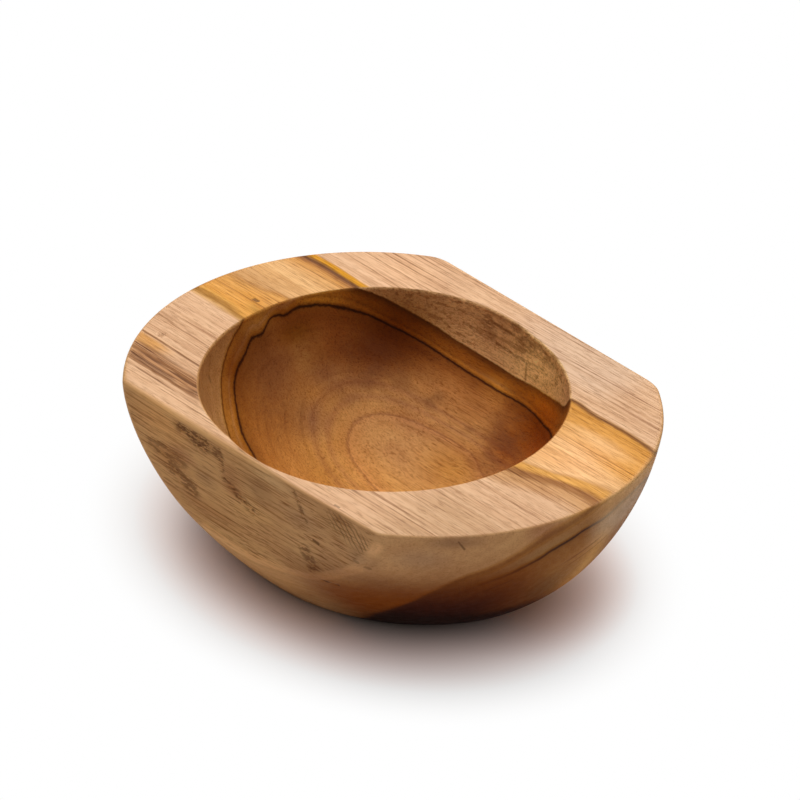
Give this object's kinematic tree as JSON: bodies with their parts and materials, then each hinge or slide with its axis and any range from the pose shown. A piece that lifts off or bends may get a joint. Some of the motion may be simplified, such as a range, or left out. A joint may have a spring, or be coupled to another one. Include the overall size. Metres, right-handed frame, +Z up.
{
  "type": "snack bowl",
  "caption": "Carved solid teak bowl for chips, dip or snacks, with rounded ends, sawn flat sides, a wide level rim and a deep oval hollow.",
  "frame": {"origin": "on the table, under the middle of the bowl's length and of its width across the flats", "axes": "+X along the grain, which is the length; +Y from the front flat with the thin rim to the back flat; +Z up out of the hollow"},
  "size_m": [0.206, 0.1453, 0.074],
  "materials": {
    "teak": "sanded and oiled, satin; the flats are left as sawn"
  },
  "bodies": {
    "root": {"bowl": "teak"}
  },
  "joints": []
}
